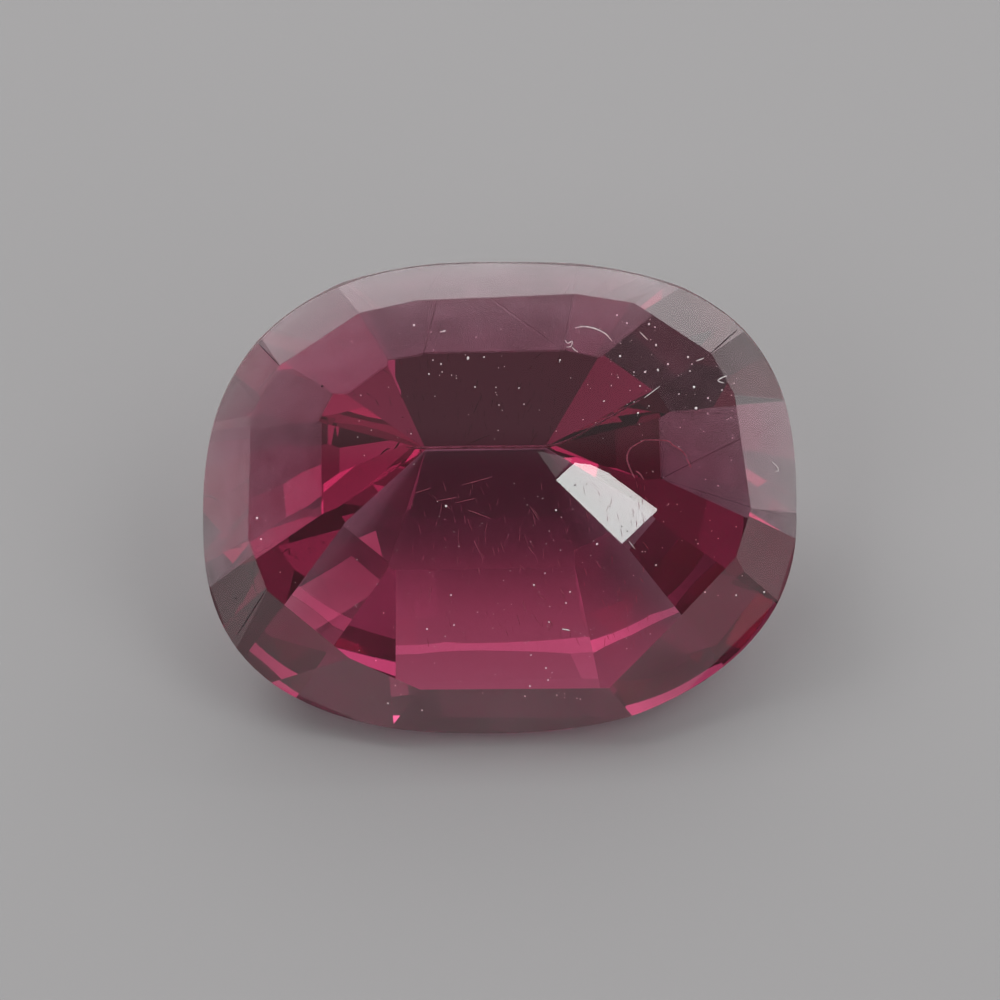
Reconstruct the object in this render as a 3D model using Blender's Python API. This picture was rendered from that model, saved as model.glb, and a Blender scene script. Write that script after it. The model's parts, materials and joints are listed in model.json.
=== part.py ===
"""Rubellite tourmaline: one loose cushion-cut stone, lying on a lower facet with its table tilted up.

The stone is made the way a lapidary makes it. A preform is ground to the cushion outline of
the girdle. Then the pavilion is cut in two rows of sixteen facets that meet in a short keel,
the crown in one row of sixteen, and the table last. Every cut is a plane.

The stone's own frame has +Z out of the table, +X along its length and z = 0 at the middle of
the girdle. At the end the stone is turned so that it lies on its widest lower facet.
"""
import math

import bmesh
import bpy
from mathutils import Matrix, Vector

MM = 0.001

# Girdle outline: reaches from the point where the four quadrant curves join
OUTLINE_JOIN = Vector((-0.19 * MM, -0.46 * MM))
REACH_RIGHT = 6.18 * MM
REACH_LEFT = 5.85 * MM
REACH_TOP = 5.29 * MM
REACH_BOTTOM = 4.38 * MM
# Squareness of the quadrants, counted from upper right to lower right; 2 is an ellipse
SQUARENESS = (2.85, 2.46, 2.56, 2.17)
OUTLINE_STEPS = 144

# Heights over the middle of the girdle
TABLE_HEIGHT = 0.60 * MM
GIRDLE_HALF = 0.09 * MM
KEEL_DEPTH = 4.90 * MM

# Keel: the short line in which the two long lower facets meet
KEEL_MIDDLE = Vector((-0.32 * MM, 0.55 * MM))
KEEL_HALF = 1.22 * MM
KEEL_TURN = math.radians(1.0)

# The preform is ground this much past the table and the keel, and the cuts remove it
PREFORM_SPARE = 0.5 * MM

# Table corners in mm, clockwise from the upper left
TABLE_CORNERS = (
    (-4.47, 2.83),
    (-2.86, 3.90),
    (-1.69, 4.16),
    (1.51, 4.29),
    (2.70, 4.10),
    (4.25, 3.07),
    (4.72, 2.23),
    (5.06, -0.11),
    (4.76, -1.11),
    (3.38, -2.60),
    (2.19, -3.81),
    (-1.64, -3.84),
    (-3.08, -3.19),
    (-4.74, -1.80),
    (-5.12, -0.73),
    (-5.06, 1.80),
)

# Cutting chart in degrees, one row for the side that starts at each table corner:
# crown slope, azimuth of the pavilion facets, slope of the upper one, slope of the lower one
CUTTING_CHART = (
    (35.0, 126.0, 52.2, 43.8),
    (39.0, 99.0, 53.4, 43.6),
    (40.0, 91.0, 52.6, 43.5),
    (43.0, 77.0, 52.4, 43.1),
    (34.0, 54.0, 48.2, 42.5),
    (31.0, 33.0, 47.5, 40.5),
    (26.0, 2.0, 45.5, 41.0),
    (25.0, -14.0, 43.5, 40.0),
    (19.0, -40.0, 42.5, 40.0),
    (22.5, -62.0, 43.0, 40.0),
    (27.0, -89.0, 42.6, 40.5),
    (23.0, -109.0, 44.2, 39.5),
    (19.0, -129.0, 42.6, 41.3),
    (25.0, -150.0, 44.5, 41.0),
    (29.0, 180.0, 48.5, 45.0),
    (37.0, 152.0, 52.0, 43.5),
)
RESTING_ROW = 10

STONE_COLOUR = (0.36, 0.05, 0.11, 1.0)
STONE_IOR = 1.63
STONE_ROUGHNESS = 0.03
GIRDLE_SHARP_ANGLE = math.radians(8.0)


def clear_scene():
    for item in list(bpy.data.objects):
        bpy.data.objects.remove(item, do_unlink=True)


def outline_point(angle):
    """Girdle outline in plan: a quarter of a superellipse in each quadrant."""
    along = math.cos(angle)
    across = math.sin(angle)
    quadrant = int(math.floor(2.0 * (angle % (2.0 * math.pi)) / math.pi)) % 4
    power = SQUARENESS[quadrant]
    reach_x = REACH_RIGHT if along > 0.0 else REACH_LEFT
    reach_y = REACH_TOP if across > 0.0 else REACH_BOTTOM
    radius = (abs(along / reach_x) ** power + abs(across / reach_y) ** power) ** (-1.0 / power)
    return OUTLINE_JOIN + radius * Vector((along, across))


def girdle_outline():
    return [outline_point(2.0 * math.pi * step / OUTLINE_STEPS) for step in range(OUTLINE_STEPS)]


def ground_preform(outline):
    """A straight-sided block with the girdle's outline."""
    block = bmesh.new()
    low = -KEEL_DEPTH - PREFORM_SPARE
    high = TABLE_HEIGHT + PREFORM_SPARE
    base = block.faces.new([block.verts.new((point.x, point.y, low)) for point in outline])
    raised = bmesh.ops.extrude_face_region(block, geom=[base])["geom"]
    raised_points = [item for item in raised if isinstance(item, bmesh.types.BMVert)]
    bmesh.ops.translate(block, vec=(0.0, 0.0, high - low), verts=raised_points)
    bmesh.ops.recalc_face_normals(block, faces=block.faces)
    return block


def cut_facet(block, point, normal):
    """Grind one flat facet: what lies beyond the plane goes, and the cut is closed."""
    everything = block.verts[:] + block.edges[:] + block.faces[:]
    cut = bmesh.ops.bisect_plane(
        block, geom=everything, dist=1e-9, plane_co=point, plane_no=normal, clear_outer=True
    )
    rim = [item for item in cut["geom_cut"] if isinstance(item, bmesh.types.BMEdge)]
    if rim:
        bmesh.ops.contextual_create(block, geom=rim)


def facet_normal(azimuth, slope, side):
    """Outward normal of a facet; side is 1 on the crown and -1 on the pavilion."""
    lean = math.sin(slope)
    return Vector((lean * math.cos(azimuth), lean * math.sin(azimuth), side * math.cos(slope)))


def cut_crown(block):
    """One facet from each side of the table down to the girdle."""
    corners = [Vector((x * MM, y * MM, TABLE_HEIGHT)) for x, y in TABLE_CORNERS]
    for index, (crown_slope, _, _, _) in enumerate(CUTTING_CHART):
        start = corners[index]
        side = corners[(index + 1) % len(corners)] - start
        azimuth = math.atan2(side.x, -side.y)
        cut_facet(block, start, facet_normal(azimuth, math.radians(crown_slope), 1))


def keel_end(azimuth):
    """The end of the keel on the side that a facet faces."""
    along = Vector((math.cos(KEEL_TURN), math.sin(KEEL_TURN)))
    facing = Vector((math.cos(azimuth), math.sin(azimuth)))
    return KEEL_MIDDLE + math.copysign(KEEL_HALF, along.dot(facing)) * along


def cut_pavilion(block, outline):
    """Upper facets start at the girdle's lower edge, lower facets end at the keel."""
    for _, azimuth_degrees, upper_slope, lower_slope in CUTTING_CHART:
        azimuth = math.radians(azimuth_degrees)
        facing = Vector((math.cos(azimuth), math.sin(azimuth)))
        outermost = max(outline, key=facing.dot)
        cut_facet(
            block,
            Vector((outermost.x, outermost.y, -GIRDLE_HALF)),
            facet_normal(azimuth, math.radians(upper_slope), -1),
        )
        tip = keel_end(azimuth)
        cut_facet(
            block,
            Vector((tip.x, tip.y, -KEEL_DEPTH)),
            facet_normal(azimuth, math.radians(lower_slope), -1),
        )


def cut_table(block):
    cut_facet(block, Vector((0.0, 0.0, TABLE_HEIGHT)), Vector((0.0, 0.0, 1.0)))


def lay_down(mesh):
    """Turn the stone onto its resting facet, centre its box and put its underside at z = 0."""
    _, azimuth, _, slope = CUTTING_CHART[RESTING_ROW]
    facing_down = facet_normal(math.radians(azimuth), math.radians(slope), -1)
    mesh.transform(facing_down.rotation_difference(Vector((0.0, 0.0, -1.0))).to_matrix().to_4x4())
    xs = [vert.co.x for vert in mesh.vertices]
    ys = [vert.co.y for vert in mesh.vertices]
    zs = [vert.co.z for vert in mesh.vertices]
    centre = Vector(((min(xs) + max(xs)) / 2.0, (min(ys) + max(ys)) / 2.0, min(zs)))
    mesh.transform(Matrix.Translation(-centre))


def stone_material():
    material = bpy.data.materials.new("tourmaline")
    material.use_nodes = True
    shader = material.node_tree.nodes["Principled BSDF"]
    shader.inputs["Base Color"].default_value = STONE_COLOUR
    shader.inputs["Roughness"].default_value = STONE_ROUGHNESS
    shader.inputs["Metallic"].default_value = 0.0
    shader.inputs["IOR"].default_value = STONE_IOR
    shader.inputs["Transmission Weight"].default_value = 1.0
    return material


def make_stone():
    outline = girdle_outline()
    block = ground_preform(outline)
    cut_pavilion(block, outline)
    cut_crown(block)
    cut_table(block)
    mesh = bpy.data.meshes.new("rubellite_tourmaline")
    block.to_mesh(mesh)
    block.free()
    lay_down(mesh)
    mesh.shade_smooth()
    mesh.set_sharp_from_angle(angle=GIRDLE_SHARP_ANGLE)
    mesh.materials.append(stone_material())
    stone = bpy.data.objects.new("rubellite_tourmaline", mesh)
    bpy.context.scene.collection.objects.link(stone)
    return stone


clear_scene()
make_stone()
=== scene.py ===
"""Looks of the loose rubellite tourmaline: clear stone, dust and wear, paper, light tent and camera."""
import json
import math
import random

import bmesh
import bpy
from mathutils import Matrix, Vector
from mathutils.bvhtree import BVHTree


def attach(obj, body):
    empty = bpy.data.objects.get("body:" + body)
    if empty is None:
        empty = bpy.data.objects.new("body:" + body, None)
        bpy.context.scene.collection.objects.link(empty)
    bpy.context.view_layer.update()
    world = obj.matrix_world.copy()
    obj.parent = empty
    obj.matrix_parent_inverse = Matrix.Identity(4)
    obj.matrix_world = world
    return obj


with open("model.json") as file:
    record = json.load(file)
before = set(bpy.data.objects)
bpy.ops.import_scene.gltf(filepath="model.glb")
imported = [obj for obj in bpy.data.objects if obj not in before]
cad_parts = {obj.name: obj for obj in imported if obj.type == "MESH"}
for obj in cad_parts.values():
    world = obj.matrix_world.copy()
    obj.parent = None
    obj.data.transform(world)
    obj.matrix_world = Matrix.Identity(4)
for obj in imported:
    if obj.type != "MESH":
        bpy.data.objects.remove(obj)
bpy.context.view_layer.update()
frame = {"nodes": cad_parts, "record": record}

MM = 0.001
DOWN = (0.0, 0.0, -1.0)
STONE = "rubellite_tourmaline"

# Photograph: its scale, the pixel on the stone's axis, and how far the view leans from the table's axis
IMAGE_SIZE = 1000
PIXELS_PER_MM = 49.33
AXIS_PIXEL = (501.0, 498.0)
VIEW_LEAN = math.radians(10.0)
CAMERA_DISTANCE = 0.30
CAMERA_CLIP = 0.01
SENSOR_WIDTH = 36.0

# The stone in its own frame: heights over the middle of the girdle
TABLE_HEIGHT = 0.60 * MM
GIRDLE_HALF = 0.09 * MM
# A ray that is followed inside the stone starts this far past the table
PAST_TABLE = 0.01 * MM

# The clear stone: refractive index, and absorption, which is density times (1 - colour) per metre
STONE_IOR = 1.63
ABSORPTION_DENSITY = 350.0
ABSORPTION_COLOUR = (0.685, 0.06, 0.355, 1.0)

# A thin blotchy haze of dust on the crown facets; the girdle is left as ground.
# Flatness is how much of a facet's normal lies along the table's axis.
CROWN_HAZE = 0.05
HAZE_SCALE = 900.0
HAZE_DETAIL = 3.0
HAZE_GAIN = 0.8
HAZE_BASE = 0.6
TABLE_FLATNESS = 0.985
GIRDLE_FLATNESS = 0.1
GIRDLE_ROUGHNESS = 0.55

# Greyish bloom just under the surface of the steep upper pavilion facets: how steep, how deep, how
# dense, and the compass directions in which it is thinner, which paints shade on the facets facing up and
# right
FACET_BEND = math.radians(0.2)
PAVILION_NORMAL = -0.3
BLOOM_SLOPE = math.radians(45.25)
BLOOM_DEPTHS = (0.012 * MM, 0.022 * MM)
BLOOM_SHRINK = 0.985
BLOOM_DENSITY = (0.14, 0.27)
# Thinner bloom on facets facing these directions: painted shade that darkens them
PAINTED_SHADE_BLOOM_DENSITY = (0.01, 0.06)
PAINTED_SHADE_FACING = (math.radians(25.0), math.radians(65.0))

# The paper's nap keeps the resting facet this far off the paper's own surface
FLOOR_GAP = 0.015 * MM
FLOOR_SIZE = 3.0
PAPER_COLOUR = (0.234, 0.230, 0.232, 1.0)
PAPER_ROUGHNESS = 0.9

# Tones of the small pieces: dark, light, and how finely they drift between the two
DUST_TONES = ((0.50, 0.48, 0.48, 1.0), (0.85, 0.82, 0.82, 1.0), 90000.0)
LINT_TONES = ((0.38, 0.36, 0.36, 1.0), (0.60, 0.58, 0.57, 1.0), 30000.0)
STROKE_TONES = ((0.13, 0.03, 0.045, 1.0), (0.24, 0.07, 0.10, 1.0), 20000.0)
WEAR_TONES = ((0.30, 0.16, 0.19, 1.0), (0.55, 0.38, 0.42, 1.0), 6000.0)
DIRT_TONES = ((0.02, 0.014, 0.018, 1.0), (0.05, 0.04, 0.045, 1.0), 30000.0)
BLOOM_TONES = ((0.78, 0.76, 0.76, 1.0), (0.92, 0.90, 0.90, 1.0), 1500.0)
TONE_DETAIL = 4.0
TONE_EDGES = (0.38, 0.62)
PIECE_ROUGHNESS = 0.85
MATT_SPECULAR = 0.1

# Light tent: half width and height, panels across each side and up each wall
TENT_HALF = 0.42
TENT_HEIGHT = 0.42
TENT_PANELS = 3
WALL_ROWS = 2
WORLD_STRENGTH = 0.04
# Radiance of each kind of panel
DARK = 0.0
FAINT = 0.1
DIM = 0.5
SOFT = 1.0
FULL = 1.6
BRIGHT = 2.8
STRONG = 5.0
LAMP = 7.5
# Roof, from left to right, and in each row from front to back
ROOF = ((BRIGHT, FULL, LAMP), (DIM, DARK, BRIGHT), (SOFT, BRIGHT, SOFT))
# Walls, along +X or +Y, each as lower and upper panel
WALLS = {
    "right": ((DIM, FULL), (DIM, SOFT), (SOFT, BRIGHT)),
    "left": ((DIM, FAINT), (DARK, FAINT), (SOFT, FAINT)),
    "back": ((SOFT, BRIGHT), (FULL, STRONG), (SOFT, STRONG)),
    "front": ((FAINT, FAINT), (DIM, FAINT), (FAINT, SOFT)),
}
WALL_WAYS = {"right": (1, 0), "left": (-1, 0), "back": (0, 1), "front": (0, -1)}

# Small card on the front wall, beside the camera: middle, size and radiance
CARD_PLACE = (0.078, -0.41, 0.325)
CARD_SIZE = (0.066, 0.11)
CARD_RADIANCE = 0.8

# Glow of the paper under the front of the stone: half width, reach from front to back, radiance at
# the front and colour, and a small even patch of it under the left side
GLOW_HALF_WIDTH = 4.5 * MM
GLOW_REACH = (-3.2 * MM, 1.7 * MM)
GLOW_RADIANCE = 0.30
GLOW_COLOUR = (1.0, 0.22, 0.39)
GLOW_FADE_START = 0.45
SIDE_GLOW_X = (-4.6 * MM, -2.3 * MM)
SIDE_GLOW_Y = (0.2 * MM, 1.8 * MM)
SIDE_GLOW_RADIANCE = 0.45

# Lamps that the table mirrors: their distance from it, the pixels of their corners, and their radiance
MIRRORED_DISTANCE = 0.6
FLASH_CORNERS = ((556, 480), (575, 463), (591, 465), (608, 473), (658, 510), (622, 544))
FLASH_RADIANCE = 9.6
FLASH_COLOUR = (0.91, 1.0, 0.97)
FAINT_CORNERS = ((537, 451), (573, 459), (556, 478))
FAINT_RADIANCE = 0.9
# Pale card that the back half of the table mirrors, fading out between two rows of the photograph
VEIL_CORNERS = ((230, 270), (770, 270), (770, 480), (230, 480))
VEIL_FADE_ROWS = (425, 472)
VEIL_RADIANCE = 0.32
VEIL_COLOUR = (1.0, 0.78, 0.83)

# A grain of dust: radius, how far it is stretched sideways and flattened, how bumpy it is, how high its
# middle sits as a share of its radius, and subdivisions of a large and of a fine grain
GRAIN_RADIUS = 0.021 * MM
GRAIN_STRETCH = (0.7, 1.25)
GRAIN_FLATTENING = 0.7
GRAIN_BUMPS = (0.8, 1.15)
GRAIN_SEAT = 0.5
GRAIN_DETAIL = 2
FINE_DETAIL = 1
# Loose dust on the table and crown: pixel, and size as a share of the usual grain
GRAINS = (
    (414, 325, 1.0), (468, 358, 1.7), (433, 360, 0.8), (441, 364, 0.7), (429, 374, 0.9),
    (484, 357, 0.7), (476, 337, 0.6), (501, 329, 0.6), (560, 360, 0.9), (475, 387, 0.7),
    (499, 405, 0.6), (524, 404, 0.7), (519, 388, 0.6), (617, 315, 0.8), (627, 323, 0.8),
    (649, 324, 1.0), (655, 327, 0.8), (656, 345, 1.0), (620, 356, 0.9), (645, 372, 1.0),
    (658, 370, 1.2), (668, 364, 0.9), (634, 372, 0.6), (640, 386, 0.8), (694, 387, 1.2),
    (679, 394, 0.9), (722, 390, 0.8), (696, 408, 1.3), (708, 398, 0.7), (638, 413, 0.9),
    (634, 402, 0.8), (649, 406, 0.7), (688, 357, 0.8), (692, 364, 0.8), (690, 371, 0.8),
    (546, 668, 0.9), (548, 680, 0.8), (530, 686, 0.7), (525, 696, 0.6), (531, 655, 0.6),
    (705, 592, 0.7), (736, 595, 0.8), (764, 592, 0.8), (257, 518, 1.3), (261, 539, 0.9),
    (422, 710, 0.9), (388, 703, 0.9), (597, 544, 1.0), (556, 510, 0.8), (446, 506, 1.0),
    (545, 573, 0.7), (534, 585, 0.8), (570, 592, 0.7), (566, 603, 0.8), (656, 565, 0.8),
    (454, 625, 0.8), (427, 629, 0.8), (451, 595, 0.7), (549, 622, 0.8), (604, 401, 0.8),
)
# Fine dust: seed, and patches of the photograph with the number of grains in each
DUST_SEED = 12
FINE_RADIUS = (0.005 * MM, 0.011 * MM)
FINE_PATCHES = (
    (600, 305, 745, 440, 80),
    (420, 480, 650, 640, 70),
    (340, 320, 620, 440, 50),
    (330, 600, 660, 700, 50),
    (640, 440, 745, 600, 30),
    (255, 380, 420, 600, 20),
)

# Threads lie on the stone with part of their radius inside it, and taper to a share of it at their ends
TUBE_SIDES = 6
CURVE_STEPS = 5
TUBE_TIP = 0.4
FIBRE_SINK = 0.1
DULL_SINK = 0.3
MARK_SINK = 0.4

# Fibres: radius, height of the arch that they stand in, and the pixels that they pass
FIBRES = (
    (0.013 * MM, 0.03 * MM, ((575, 328), (582, 326.5), (590, 327), (598, 329.5), (606, 334), (612, 341))),
    (0.011 * MM, 0.03 * MM, ((565, 340), (568, 343), (572, 341), (571, 346), (566, 347))),
    (0.011 * MM, 0.02 * MM, ((572, 347), (575, 350), (578, 352))),
    (0.013 * MM, 0.03 * MM, ((727, 376), (723, 377), (718, 380), (721, 382), (724, 383))),
    (0.010 * MM, 0.01 * MM, ((640, 332), (644, 336), (648, 340))),
    (0.011 * MM, 0.01 * MM, ((696, 361), (700, 359.5), (704, 358))),
    (0.009 * MM, 0.01 * MM, ((644, 398), (652, 392), (660, 386))),
    (0.011 * MM, 0.02 * MM, ((772, 462), (776, 466), (778, 470), (775, 472))),
    (0.015 * MM, 0.01 * MM, ((440, 332), (446, 330.5))),
    (0.014 * MM, 0.01 * MM, ((562, 629), (566, 629.5), (570, 630.5))),
    (0.008 * MM, 0.01 * MM, ((629, 541), (632, 545), (635, 549))),
)

# Dulled fibres that lie flat on the table and hardly stand out
DULL_FIBRES = (
    (0.016 * MM, ((635, 478), (633, 475), (629, 466), (627, 457), (631, 448), (644, 440))),
    (0.013 * MM, ((644, 440), (655, 440), (668, 441), (673, 445), (681, 450), (687, 457))),
    (0.014 * MM, ((636, 471), (640, 474), (644, 480))),
    (0.013 * MM, ((686, 458), (689, 463), (691, 468))),
)

# Strokes that polishing and wear left in the table: pixels of both ends of each
STROKE_RADIUS = 0.008 * MM
STROKES = (
    ((415, 493), (431, 488)), ((462, 485), (492, 477)), ((436, 501), (458, 497)), ((455, 503), (476, 498)),
    ((468, 510), (480, 514)), ((476, 513), (490, 518)), ((446, 505), (450, 509)), ((474, 540), (480, 553)),
    ((528, 546), (533, 553)), ((478, 567), (480, 575)), ((523, 600), (526, 612)), ((530, 506), (539, 520)),
    ((538, 594), (546, 600)), ((548, 619), (553, 625)), ((517, 615), (520, 625)), ((532, 583), (536, 588)),
)
# Finer strokes at random: the patch that they fill, their length in pixels, the middle and spread of
# their direction in degrees, and their radius as a share of the others'
STROKE_SEED = 7
STROKE_COUNT = 170
STROKE_PATCH = (412, 478, 650, 640)
STROKE_LENGTH = (4.0, 11.0)
STROKE_LEAN = (80.0, 14.0)
STROKE_THINNING = (0.35, 0.75)

# Worn, dulled edge where the lower facets meet, lifted to lie inside the stone: pixels that it passes,
# seen through the table
WEAR_RADIUS = 0.02 * MM
WEAR_LIFT = Vector((0.0, 0.0, 1.4 * WEAR_RADIUS))
WEAR_LINE = (
    (408, 447), (425, 448.5), (480, 447.5), (530, 447.5),
    (548, 446.5), (573, 438), (601, 422), (640, 400),
)

# Dark lines where crown facets meet: radius and pixels of both ends. Dark flecks: pixel, and size as a
# share of the usual grain
RIDGE_LINES = (
    (0.011 * MM, ((259, 344), (280, 366))),
    (0.013 * MM, ((711, 353), (737, 330))),
    (0.010 * MM, ((266, 590), (237, 635))),
)
FLECKS = (
    (322, 386, 1.2), (274, 550.5, 0.8), (236, 598, 1.0), (575, 485, 0.7), (587, 484, 0.7),
    (600, 501, 0.6), (610, 506, 0.8), (622, 526, 1.0), (627.5, 531, 0.9), (630.5, 497, 0.6),
)


def stone_axes():
    """From the stone's own frame, origin on its axis at the girdle and +Z out of the table, to the world."""
    table = next(mount for mount in frame["record"]["mounts"] if mount["name"] == "table")
    axis = Vector(table["axis"]).normalized()
    turn = Vector((0.0, 0.0, 1.0)).rotation_difference(axis).to_matrix().to_4x4()
    origin = Vector(table["pos_m"]) - TABLE_HEIGHT * axis
    return Matrix.Translation(origin) @ turn


TO_WORLD = stone_axes()
TO_STONE = TO_WORLD.inverted()
VIEW_RIGHT = Vector((1.0, 0.0, 0.0))
VIEW_UP = Vector((0.0, math.cos(VIEW_LEAN), -math.sin(VIEW_LEAN)))
VIEW_BACK = VIEW_RIGHT.cross(VIEW_UP)


def view_point(pixel, depth=0.0):
    """A photograph's pixel in the plane through the stone's origin, in the stone's own frame."""
    right = (pixel[0] - AXIS_PIXEL[0]) / PIXELS_PER_MM * MM
    up = (AXIS_PIXEL[1] - pixel[1]) / PIXELS_PER_MM * MM
    return VIEW_RIGHT * right + VIEW_UP * up + VIEW_BACK * depth


EYE = view_point((IMAGE_SIZE / 2.0, IMAGE_SIZE / 2.0), CAMERA_DISTANCE)


def own_tree(stone):
    """The stone's faces in its own frame, for placing things on it."""
    points = [TO_STONE @ vert.co for vert in stone.data.vertices]
    return BVHTree.FromPolygons(points, [list(face.vertices) for face in stone.data.polygons])


def on_surface(tree, pixel):
    """Where the ray through a pixel meets the stone: point and outward normal."""
    way = (view_point(pixel) - EYE).normalized()
    point, normal, _, _ = tree.ray_cast(EYE, way)
    return point, normal


def on_table(pixel):
    """Where the ray through a pixel meets the table's plane."""
    way = view_point(pixel) - EYE
    return EYE + way * ((TABLE_HEIGHT - EYE.z) / way.z)


def through_table(tree, pixel):
    """Where the ray through a pixel, bent by the table, meets the pavilion: point and normal."""
    start = on_table(pixel)
    way = (start - EYE).normalized()
    inside = Vector((way.x, way.y, 0.0)) / STONE_IOR
    inside.z = -math.sqrt(1.0 - inside.length_squared)
    point, normal, _, _ = tree.ray_cast(start + inside * PAST_TABLE, inside)
    return point, normal


def add_camera():
    """Looks at the stone nearly along its table's axis, framed as the photograph is."""
    data = bpy.data.cameras.new("camera")
    data.sensor_width = SENSOR_WIDTH
    data.lens = SENSOR_WIDTH * CAMERA_DISTANCE * PIXELS_PER_MM / (IMAGE_SIZE * MM)
    data.clip_start = CAMERA_CLIP
    pose = Matrix((VIEW_RIGHT, VIEW_UP, VIEW_BACK)).transposed().to_4x4()
    pose.translation = EYE
    camera = bpy.data.objects.new("camera", data)
    camera.matrix_world = TO_WORLD @ pose
    bpy.context.scene.collection.objects.link(camera)
    bpy.context.scene.camera = camera


def add_floor():
    """Sheet of pale paper that the stone lies on."""
    bpy.ops.mesh.primitive_plane_add(size=FLOOR_SIZE, location=(0.0, 0.0, -FLOOR_GAP))
    floor = bpy.context.object
    floor.name = "floor"
    floor.data.materials.append(matt_material("paper", PAPER_COLOUR, PAPER_ROUGHNESS))


def area_light(name, place, facing, size, radiance):
    """A flat soft light whose bright side faces away from the given outward direction."""
    data = bpy.data.lights.new(name, "AREA")
    data.shape = "RECTANGLE"
    data.size, data.size_y = size
    data.energy = radiance * math.pi * data.size * data.size_y
    lamp = bpy.data.objects.new(name, data)
    lamp.location = place
    lamp.rotation_euler = Vector(facing).to_track_quat("Z", "Y").to_euler()
    lamp.visible_camera = False
    bpy.context.scene.collection.objects.link(lamp)
    return lamp


def add_tent():
    """A dim room and a light tent around the stone, its roof and walls made of even panels."""
    world = bpy.data.worlds.new("studio")
    world.use_nodes = True
    world.node_tree.nodes["Background"].inputs["Color"].default_value = (1.0, 1.0, 1.0, 1.0)
    world.node_tree.nodes["Background"].inputs["Strength"].default_value = WORLD_STRENGTH
    bpy.context.scene.world = world
    width = 2.0 * TENT_HALF / TENT_PANELS
    middles = [-TENT_HALF + width * (step + 0.5) for step in range(TENT_PANELS)]
    for x, column in zip(middles, ROOF):
        for y, radiance in zip(middles, column):
            if radiance > 0.0:
                area_light("roof", (x, y, TENT_HEIGHT), (0.0, 0.0, 1.0), (width, width), radiance)
    for name, wall in WALLS.items():
        out_x, out_y = WALL_WAYS[name]
        for along, pair in zip(middles, wall):
            for level, radiance in enumerate(pair):
                place = (
                    out_x * TENT_HALF if out_x else along,
                    out_y * TENT_HALF if out_y else along,
                    TENT_HEIGHT * (level + 0.5) / WALL_ROWS,
                )
                if radiance > 0.0:
                    area_light(name, place, (out_x, out_y, 0.0), (width, TENT_HEIGHT / WALL_ROWS), radiance)
    area_light("card", CARD_PLACE, (0.0, -1.0, 0.0), CARD_SIZE, CARD_RADIANCE)


def add_mirrored(name, pixels, radiance, colour, fade_rows=None):
    """A small many-sided lamp, placed where the table mirrors it to the camera."""
    image_eye = Vector((EYE.x, EYE.y, 2.0 * TABLE_HEIGHT - EYE.z))
    spots = [on_table(pixel) for pixel in pixels]
    middle = sum(spots, Vector()) / len(spots)
    way = (middle - image_eye).normalized()
    lamp_right = (VIEW_RIGHT - way * VIEW_RIGHT.dot(way)).normalized()
    lamp_up = way.cross(lamp_right)
    centre = middle + way * MIRRORED_DISTANCE
    corners = []
    for spot in spots:
        ray = spot - image_eye
        hit = image_eye + ray * ((centre - image_eye).dot(way) / ray.dot(way)) - centre
        corners.append((hit.dot(lamp_right), hit.dot(lamp_up)))
    low = [min(corner[i] for corner in corners) for i in range(2)]
    high = [max(corner[i] for corner in corners) for i in range(2)]
    size = [high[i] - low[i] for i in range(2)]
    centre += lamp_right * (low[0] + high[0]) / 2.0 + lamp_up * (low[1] + high[1]) / 2.0
    lamp = area_light(name, centre, way, size, radiance)
    pose = Matrix((lamp_right, lamp_up, way)).transposed().to_4x4()
    pose.translation = centre
    lamp.matrix_world = TO_WORLD @ pose
    lamp.data.color = colour
    scaled = [((x - low[0]) / size[0], (y - low[1]) / size[1]) for x, y in corners]
    mask_lamp(lamp.data, scaled)
    if fade_rows:
        top = min(pixel[1] for pixel in pixels)
        bottom = max(pixel[1] for pixel in pixels)
        ends = [(row - top) / (bottom - top) for row in fade_rows]
        if scaled[0][1] > 0.5:
            ends = [1.0 - end for end in ends]
        fade_lamp(lamp.data, *ends)


def mask_lamp(data, corners):
    """Only the polygon with the given corners, in the lamp's own 0 to 1 frame, gives light."""
    data.use_nodes = True
    nodes = data.node_tree.nodes
    links = data.node_tree.links
    place = nodes.new("ShaderNodeNewGeometry").outputs["Parametric"]
    inside = None
    for start, end in zip(corners, corners[1:] + corners[:1]):
        across = (start[1] - end[1], end[0] - start[0])
        limit = across[0] * start[0] + across[1] * start[1]
        side = nodes.new("ShaderNodeVectorMath")
        side.operation = "DOT_PRODUCT"
        side.inputs[1].default_value = (across[0], across[1], 0.0)
        links.new(place, side.inputs[0])
        test = math_node(nodes, links, "LESS_THAN", side.outputs["Value"], limit)
        inside = test if inside is None else math_node(nodes, links, "MULTIPLY", inside, test)
    links.new(inside, nodes["Emission"].inputs["Strength"])


def fade_lamp(data, start, end):
    """The lamp fades from full at one height to nothing at another, in its own 0 to 1 frame."""
    data.use_nodes = True
    nodes = data.node_tree.nodes
    links = data.node_tree.links
    parts = nodes.new("ShaderNodeSeparateXYZ")
    links.new(nodes.new("ShaderNodeNewGeometry").outputs["Parametric"], parts.inputs["Vector"])
    fade = nodes.new("ShaderNodeMapRange")
    fade.interpolation_type = "SMOOTHSTEP"
    rising = start > end
    fade.inputs["From Min"].default_value = min(start, end)
    fade.inputs["From Max"].default_value = max(start, end)
    fade.inputs["To Min"].default_value = 0.0 if rising else 1.0
    fade.inputs["To Max"].default_value = 1.0 if rising else 0.0
    links.new(parts.outputs["Y"], fade.inputs["Value"])
    strength = nodes["Emission"].inputs["Strength"]
    if strength.is_linked:
        masked = math_node(nodes, links, "MULTIPLY", strength.links[0].from_socket, fade.outputs["Result"])
        links.new(masked, strength)
    else:
        links.new(fade.outputs["Result"], strength)


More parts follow.
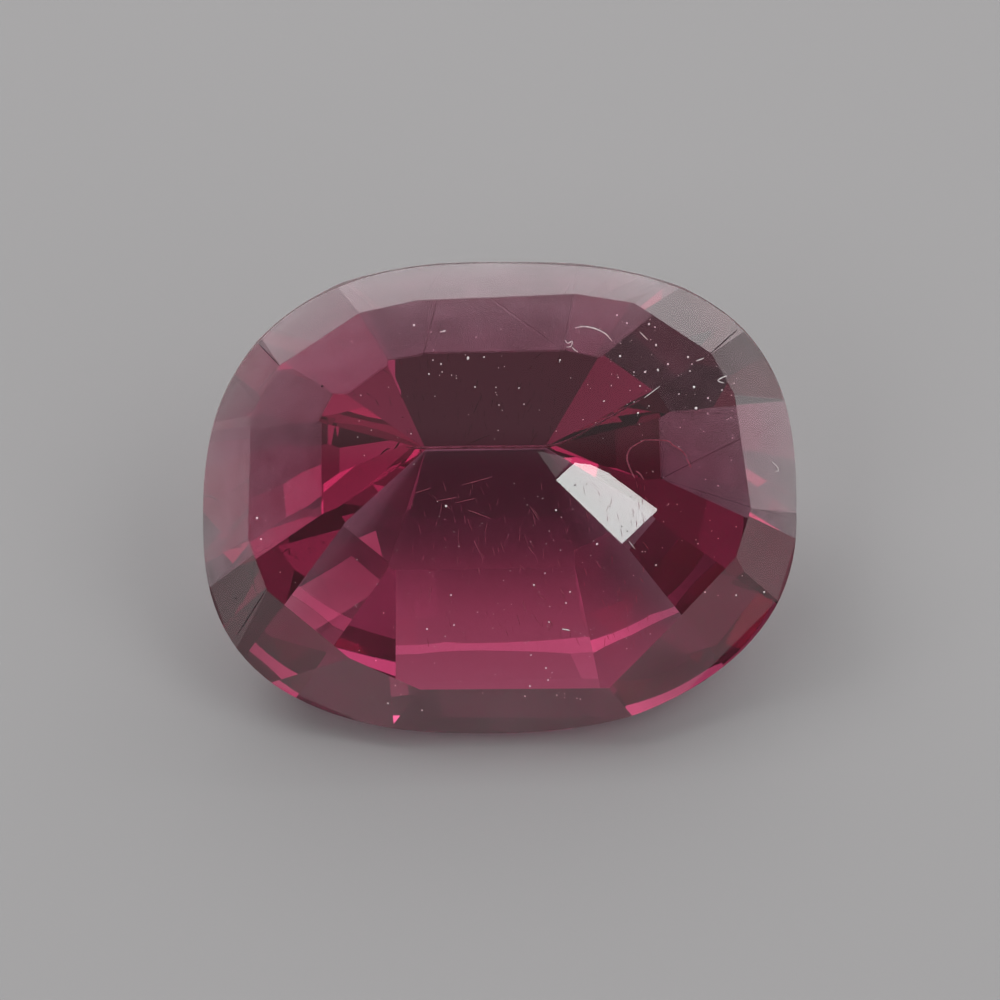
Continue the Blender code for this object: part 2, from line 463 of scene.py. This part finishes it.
def math_node(nodes, links, operation, *values):
    """A Math node; each value is a number or a socket. Gives its result."""
    node = nodes.new("ShaderNodeMath")
    node.operation = operation
    for index, value in enumerate(values):
        if isinstance(value, (int, float)):
            node.inputs[index].default_value = value
        else:
            links.new(value, node.inputs[index])
    return node.outputs[0]


def matt_material(name, colour, roughness):
    """Plain material with hardly any shine."""
    material = bpy.data.materials.new(name)
    material.use_nodes = True
    shader = material.node_tree.nodes["Principled BSDF"]
    shader.inputs["Base Color"].default_value = colour
    shader.inputs["Roughness"].default_value = roughness
    shader.inputs["Specular IOR Level"].default_value = MATT_SPECULAR
    return material


def stone_material():
    """Clear, evenly coloured stone; faint haze of dust on the crown facets, girdle as ground."""
    material = bpy.data.materials.new("tourmaline")
    material.use_nodes = True
    nodes = material.node_tree.nodes
    links = material.node_tree.links
    shader = nodes["Principled BSDF"]
    shader.inputs["Base Color"].default_value = (1.0, 1.0, 1.0, 1.0)
    shader.inputs["IOR"].default_value = STONE_IOR
    absorb = nodes.new("ShaderNodeVolumeAbsorption")
    absorb.inputs["Color"].default_value = ABSORPTION_COLOUR
    absorb.inputs["Density"].default_value = ABSORPTION_DENSITY
    links.new(absorb.outputs["Volume"], nodes["Material Output"].inputs["Volume"])

    geometry = nodes.new("ShaderNodeNewGeometry")
    axis = TO_WORLD.to_3x3() @ Vector((0.0, 0.0, 1.0))
    along = nodes.new("ShaderNodeVectorMath")
    along.operation = "DOT_PRODUCT"
    along.inputs[1].default_value = axis
    links.new(geometry.outputs["Position"], along.inputs[0])
    height = math_node(nodes, links, "SUBTRACT", along.outputs["Value"], axis.dot(TO_WORLD.translation))
    facing = nodes.new("ShaderNodeVectorMath")
    facing.operation = "DOT_PRODUCT"
    facing.inputs[1].default_value = axis
    links.new(geometry.outputs["True Normal"], facing.inputs[0])
    flatness = math_node(nodes, links, "ABSOLUTE", facing.outputs["Value"])

    crown = math_node(nodes, links, "GREATER_THAN", height, GIRDLE_HALF)
    slanted = math_node(nodes, links, "LESS_THAN", flatness, TABLE_FLATNESS)
    hazed = math_node(nodes, links, "MULTIPLY", crown, slanted)
    upright = math_node(nodes, links, "LESS_THAN", flatness, GIRDLE_FLATNESS)
    blotches = nodes.new("ShaderNodeTexNoise")
    blotches.inputs["Scale"].default_value = HAZE_SCALE
    blotches.inputs["Detail"].default_value = HAZE_DETAIL
    links.new(geometry.outputs["Position"], blotches.inputs["Vector"])
    uneven = math_node(nodes, links, "MULTIPLY_ADD", blotches.outputs["Fac"], HAZE_GAIN, HAZE_BASE)
    haze = math_node(nodes, links, "MULTIPLY", uneven, hazed)
    clear = math_node(nodes, links, "MULTIPLY_ADD", haze, -CROWN_HAZE, 1.0)
    links.new(clear, shader.inputs["Transmission Weight"])
    rough = math_node(nodes, links, "MULTIPLY", upright, GIRDLE_ROUGHNESS)
    links.new(rough, shader.inputs["Roughness"])
    return material


def uneven_material(name, dark, light, scale):
    """Matt material whose tone drifts between two colours."""
    material = matt_material(name, light, PIECE_ROUGHNESS)
    nodes = material.node_tree.nodes
    links = material.node_tree.links
    place = nodes.new("ShaderNodeTexCoord")
    noise = nodes.new("ShaderNodeTexNoise")
    noise.inputs["Scale"].default_value = scale
    noise.inputs["Detail"].default_value = TONE_DETAIL
    links.new(place.outputs["Object"], noise.inputs["Vector"])
    ramp = nodes.new("ShaderNodeValToRGB")
    for element, edge, tone in zip(ramp.color_ramp.elements, TONE_EDGES, (dark, light)):
        element.position = edge
        element.color = tone
    links.new(noise.outputs["Fac"], ramp.inputs["Fac"])
    links.new(ramp.outputs["Color"], nodes["Principled BSDF"].inputs["Base Color"])
    return material


def make_piece(name, mesh, materials, smooth):
    """Turn a mesh in the stone's own frame into a piece that stays with the stone."""
    mesh.transform(TO_WORLD)
    bmesh.ops.recalc_face_normals(mesh, faces=mesh.faces)
    data = bpy.data.meshes.new(name)
    mesh.to_mesh(data)
    mesh.free()
    if smooth:
        data.shade_smooth()
    for material in materials:
        data.materials.append(material)
    piece = bpy.data.objects.new(name, data)
    bpy.context.scene.collection.objects.link(piece)
    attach(piece, "root")


def add_grain(mesh, tree, pixel, radius, dice, detail):
    """One uneven grain that sits on the stone at a pixel."""
    point, normal = on_surface(tree, pixel)
    if point is None:
        return
    centre = point + normal * GRAIN_SEAT * radius
    sizes = [radius * dice.uniform(*GRAIN_STRETCH) for _ in range(2)] + [radius * GRAIN_FLATTENING, 1.0]
    turn = normal.to_track_quat("Z", "Y").to_matrix().to_4x4()
    pose = Matrix.Translation(centre) @ turn @ Matrix.Rotation(dice.uniform(0.0, math.pi), 4, "Z")
    pose = pose @ Matrix.Diagonal(sizes)
    verts = bmesh.ops.create_icosphere(mesh, subdivisions=detail, radius=1.0, matrix=pose)["verts"]
    for vert in verts:
        vert.co = centre + (vert.co - centre) * dice.uniform(*GRAIN_BUMPS)


def add_dust(tree):
    """Large grains where they lie, and fine dust strewn over patches of the stone."""
    dice = random.Random(DUST_SEED)
    mesh = bmesh.new()
    for x, y, share in GRAINS:
        add_grain(mesh, tree, (x, y), GRAIN_RADIUS * share, dice, GRAIN_DETAIL)
    for left, top, right, bottom, count in FINE_PATCHES:
        for _ in range(count):
            pixel = (dice.uniform(left, right), dice.uniform(top, bottom))
            add_grain(mesh, tree, pixel, dice.uniform(*FINE_RADIUS), dice, FINE_DETAIL)
    make_piece("dust_grains", mesh, [uneven_material("dust", *DUST_TONES)], False)


def curve_through(corners):
    """Smooth curve through the given pixels."""
    corners = [Vector(corner) for corner in corners]
    ends = [2.0 * corners[0] - corners[1]] + corners + [2.0 * corners[-1] - corners[-2]]
    path = []
    for a, b, c, d in zip(ends, ends[1:], ends[2:], ends[3:]):
        for step in range(CURVE_STEPS):
            t = step / CURVE_STEPS
            bend = (2.0 * a - 5.0 * b + 4.0 * c - d) * t * t + (3.0 * b - a - 3.0 * c + d) * t ** 3
            path.append(0.5 * (2.0 * b + (c - a) * t + bend))
    return path + [corners[-1]]


def add_tube(mesh, spots, normals, radius):
    """Round thread along the spots, thinner towards its ends."""
    rings = []
    for index, (spot, normal) in enumerate(zip(spots, normals)):
        along = spots[min(index + 1, len(spots) - 1)] - spots[max(index - 1, 0)]
        across = along.cross(normal).normalized()
        up = across.cross(along).normalized()
        bulge = math.sqrt(math.sin(math.pi * index / (len(spots) - 1)))
        thick = radius * (TUBE_TIP + (1.0 - TUBE_TIP) * bulge)
        ring = []
        for side in range(TUBE_SIDES):
            angle = 2.0 * math.pi * side / TUBE_SIDES
            ring.append(mesh.verts.new(spot + thick * (across * math.cos(angle) + up * math.sin(angle))))
        rings.append(ring)
    for low, high in zip(rings, rings[1:]):
        for side in range(TUBE_SIDES):
            other = (side + 1) % TUBE_SIDES
            mesh.faces.new((low[side], low[other], high[other], high[side]))
    mesh.faces.new(rings[0])
    mesh.faces.new(rings[-1])


def lay_thread(mesh, tree, corners, radius, arch, sink):
    """Thread on the stone's surface; arch lifts its middle, sink is the part of its radius inside."""
    hits = [on_surface(tree, pixel) for pixel in curve_through(corners)]
    normals = [normal for _, normal in hits]
    spots = []
    for index, (point, normal) in enumerate(hits):
        lift = radius * (1.0 - 2.0 * sink) + arch * math.sin(math.pi * index / (len(hits) - 1))
        spots.append(point + normal * lift)
    add_tube(mesh, spots, normals, radius)


def add_fibres(tree):
    """Loose bits of lint that stand in low arches on the stone."""
    mesh = bmesh.new()
    for radius, arch, corners in FIBRES:
        lay_thread(mesh, tree, corners, radius, arch, FIBRE_SINK)
    make_piece("lint_fibres", mesh, [uneven_material("lint", *LINT_TONES)], True)


def add_strokes(tree):
    """Fine strokes of wear and dulled fibres on the table."""
    dice = random.Random(STROKE_SEED)
    mesh = bmesh.new()
    for ends in STROKES:
        lay_thread(mesh, tree, ends, STROKE_RADIUS, 0.0, MARK_SINK)
    for radius, corners in DULL_FIBRES:
        lay_thread(mesh, tree, corners, radius, 0.0, DULL_SINK)
    left, top, right, bottom = STROKE_PATCH
    for _ in range(STROKE_COUNT):
        start = Vector((dice.uniform(left, right), dice.uniform(top, bottom)))
        lean = math.radians(dice.gauss(*STROKE_LEAN))
        length = dice.uniform(*STROKE_LENGTH)
        end = start + length * Vector((math.cos(lean), math.sin(lean)))
        radius = STROKE_RADIUS * dice.uniform(*STROKE_THINNING)
        lay_thread(mesh, tree, (start, end), radius, 0.0, MARK_SINK)
    make_piece("polish_strokes", mesh, [uneven_material("polish_marks", *STROKE_TONES)], True)


def add_wear(tree):
    """Dulled edge of the keel and of the ridge that runs up from it."""
    hits = [through_table(tree, pixel) for pixel in curve_through(WEAR_LINE)]
    mesh = bmesh.new()
    add_tube(mesh, [point + WEAR_LIFT for point, _ in hits], [normal for _, normal in hits], WEAR_RADIUS)
    make_piece("worn_keel", mesh, [uneven_material("worn_edge", *WEAR_TONES)], True)


def add_dark_marks(tree):
    """Dirt in three ridges of the crown, and dark flecks."""
    dice = random.Random(DUST_SEED)
    mesh = bmesh.new()
    for radius, corners in RIDGE_LINES:
        lay_thread(mesh, tree, corners, radius, 0.0, MARK_SINK)
    for x, y, share in FLECKS:
        add_grain(mesh, tree, (x, y), GRAIN_RADIUS * share, dice, GRAIN_DETAIL)
    make_piece("dark_marks", mesh, [uneven_material("dark_dirt", *DIRT_TONES)], True)


def bloom_material(name, density):
    """Whitish see-through layer, denser in some places than in others."""
    material = uneven_material(name, *BLOOM_TONES)
    nodes = material.node_tree.nodes
    links = material.node_tree.links
    spread = nodes.new("ShaderNodeMapRange")
    spread.inputs["To Min"].default_value = density[0]
    spread.inputs["To Max"].default_value = density[1]
    links.new(nodes["Noise Texture"].outputs["Fac"], spread.inputs["Value"])
    links.new(spread.outputs["Result"], nodes["Principled BSDF"].inputs["Alpha"])
    return material


def add_bloom(stone):
    """Thin whitish layer close under each steep upper pavilion facet; thinner under those facing up and
    right, which paints shade on them.
    """
    facets = bmesh.new()
    facets.from_mesh(stone.data)
    facets.transform(TO_STONE)
    bmesh.ops.dissolve_limit(facets, angle_limit=FACET_BEND, verts=facets.verts, edges=facets.edges)
    mesh = bmesh.new()
    for face in facets.faces:
        steepness = math.acos(min(1.0, abs(face.normal.z)))
        facing = math.atan2(face.normal.y, face.normal.x)
        # Facets facing up and right get the thinner bloom, which paints shade on them
        painted_shade = PAINTED_SHADE_FACING[0] < facing < PAINTED_SHADE_FACING[1]
        if face.normal.z > PAVILION_NORMAL or steepness < BLOOM_SLOPE:
            continue
        middle = face.calc_center_median()
        layers = []
        for depth in BLOOM_DEPTHS:
            spots = [middle + (vert.co - middle) * BLOOM_SHRINK - face.normal * depth for vert in face.verts]
            layers.append([mesh.verts.new(spot) for spot in spots])
        outer, inner = layers
        made = [mesh.faces.new(outer), mesh.faces.new(inner)]
        for step in range(len(outer)):
            after = (step + 1) % len(outer)
            made.append(mesh.faces.new((outer[step], outer[after], inner[after], inner[step])))
        for new_face in made:
            new_face.material_index = int(painted_shade)
    facets.free()
    # The second material is the thinner bloom that paints shade
    materials = [bloom_material("bloom", BLOOM_DENSITY), bloom_material("bloom_thinned_as_painted_shade", PAINTED_SHADE_BLOOM_DENSITY)]
    make_piece("facet_bloom", mesh, materials, False)


def add_glow():
    """Light that comes up from the paper under the front of the stone, fading towards its back."""
    left = (SIDE_GLOW_X[0] + SIDE_GLOW_X[1]) / 2.0
    near = (SIDE_GLOW_Y[0] + SIDE_GLOW_Y[1]) / 2.0
    size = (SIDE_GLOW_X[1] - SIDE_GLOW_X[0], SIDE_GLOW_Y[1] - SIDE_GLOW_Y[0])
    side = area_light("glow_left", (left, near, -FLOOR_GAP / 2.0), DOWN, size, SIDE_GLOW_RADIANCE)
    side.data.color = GLOW_COLOUR
    low, high = GLOW_REACH
    place = (0.0, (low + high) / 2.0, -FLOOR_GAP / 2.0)
    lamp = area_light("glow", place, DOWN, (2.0 * GLOW_HALF_WIDTH, high - low), GLOW_RADIANCE)
    lamp.data.color = GLOW_COLOUR
    fade_lamp(lamp.data, GLOW_FADE_START, 1.0)


stone = frame["nodes"][STONE]
stone.data.materials.clear()
stone.data.materials.append(stone_material())
tree = own_tree(stone)
add_dust(tree)
add_fibres(tree)
add_strokes(tree)
add_wear(tree)
add_dark_marks(tree)
add_bloom(stone)
add_camera()
add_floor()
add_tent()
add_mirrored("flash", FLASH_CORNERS, FLASH_RADIANCE, FLASH_COLOUR)
add_mirrored("faint_flash", FAINT_CORNERS, FAINT_RADIANCE, FLASH_COLOUR)
add_mirrored("pale_card", VEIL_CORNERS, VEIL_RADIANCE, VEIL_COLOUR, VEIL_FADE_ROWS)
add_glow()
bpy.context.scene.view_settings.view_transform = "Standard"
